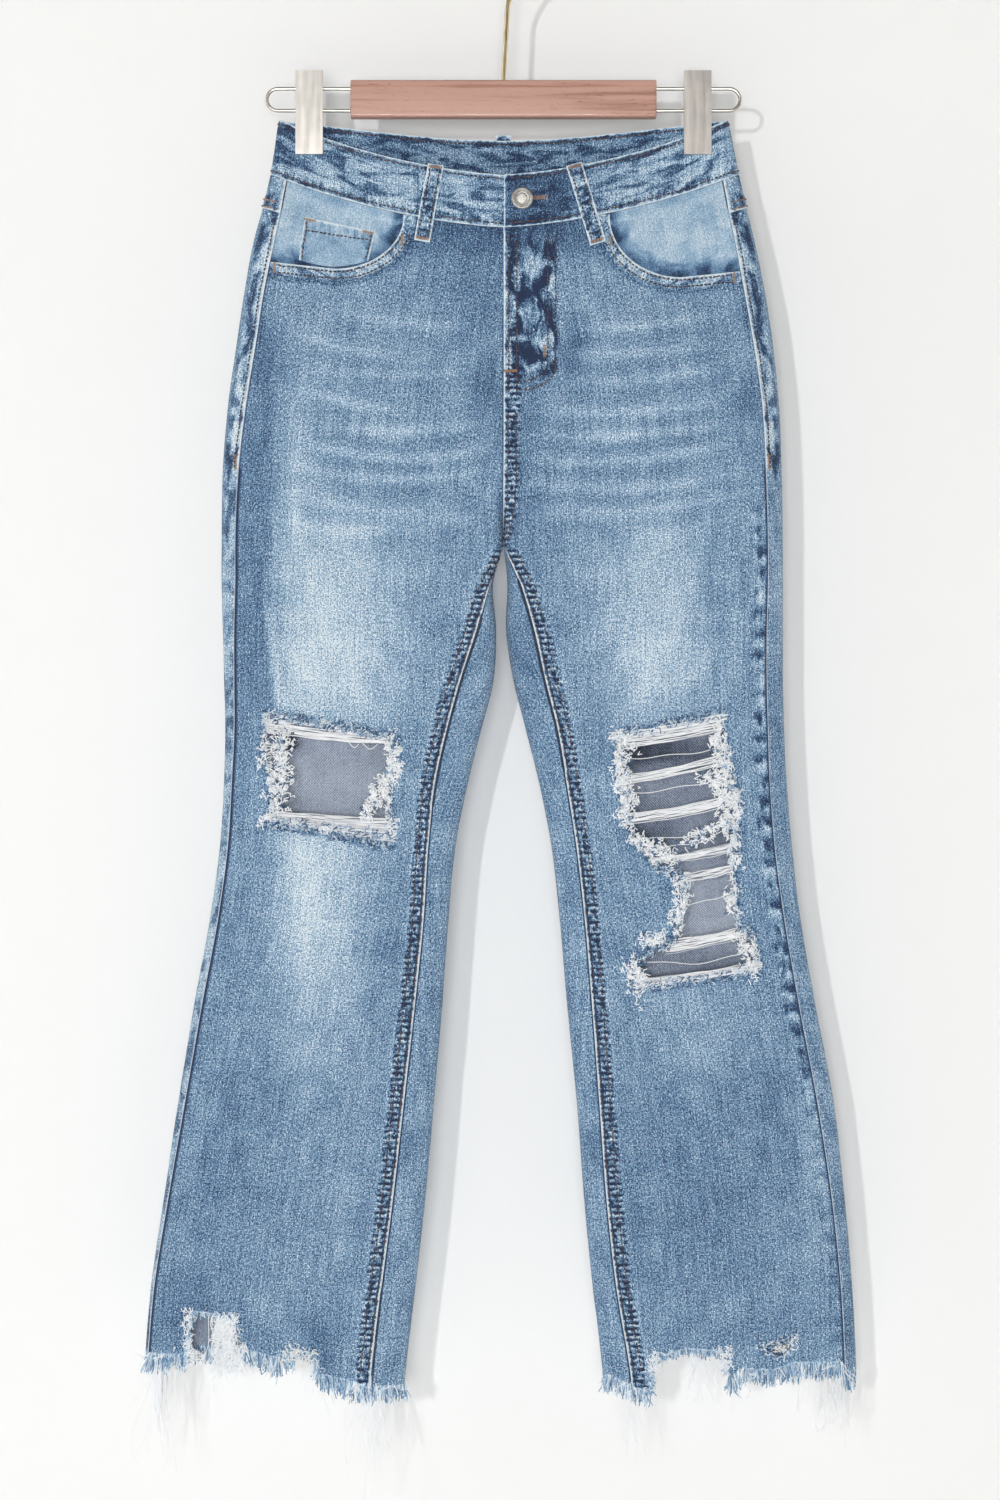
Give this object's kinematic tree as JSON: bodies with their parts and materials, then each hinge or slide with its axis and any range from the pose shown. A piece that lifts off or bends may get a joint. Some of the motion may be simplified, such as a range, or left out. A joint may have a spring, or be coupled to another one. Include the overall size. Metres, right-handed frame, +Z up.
{
  "type": "ripped jeans on a clip hanger",
  "caption": "Washed blue jeans with knee rips and frayed hems, hung flat by the waistband from a wooden bar hanger with sliding metal clips.",
  "frame": {"origin": "inside of the hook's crown, where a rail carries the hanger; the bar, the clips and the jeans hang straight below it", "axes": "+Z up along the hanging garment; +X towards the wearer's left; the front of the jeans faces -Y; the hanger lies in the plane Y = 0"},
  "size_m": [0.5722, 0.043, 1.2236],
  "materials": {
    "denim": "washed blue twill, matt",
    "denim_facing": "paler washed twill, matt",
    "weft": "loose cotton weft threads",
    "fray": "frayed cotton threads",
    "zip_tape": "woven tape",
    "zip_metal": "satin",
    "button": "satin, pressed face",
    "wood": "smooth, clear lacquer",
    "hook": "pale gold, polished",
    "wire": "bright drawn wire",
    "clip": "satin pressed sheet"
  },
  "bodies": {
    "root": {"back_left": "denim", "back_pocket_left": "denim", "back_pocket_right": "denim", "back_right": "denim", "belt_loop_back_centre": "denim", "belt_loop_back_left": "denim", "belt_loop_back_right": "denim", "belt_loop_front_left": "denim", "belt_loop_front_right": "denim", "button": "button", "clip_back_left": "clip", "clip_back_right": "clip", "clip_front_left": "clip", "clip_front_right": "clip", "clip_pin_left": "wire", "clip_pin_right": "wire", "coin_pocket": "denim", "fringe_back_left": "fray", "fringe_back_right": "fray", "fringe_front_left": "fray", "fringe_front_right": "fray", "front_left": "denim", "front_right": "denim", "hanger_bar": "wood", "hanger_hook": "hook", "hanger_wire_left": "wire", "hanger_wire_right": "wire", "knee_band_left_1": "weft", "knee_band_left_2": "weft", "knee_band_left_3": "weft", "knee_band_left_4": "weft", "knee_band_left_5": "weft", "knee_band_left_6": "weft", "knee_band_left_7": "weft", "knee_band_right_1": "weft", "knee_band_right_2": "weft", "pocket_facing_left": "denim_facing", "pocket_facing_right": "denim_facing", "waistband": "denim", "yoke_left": "denim", "yoke_right": "denim", "zip_slider": "zip_metal", "zip_tape": "zip_tape"}
  },
  "joints": []
}
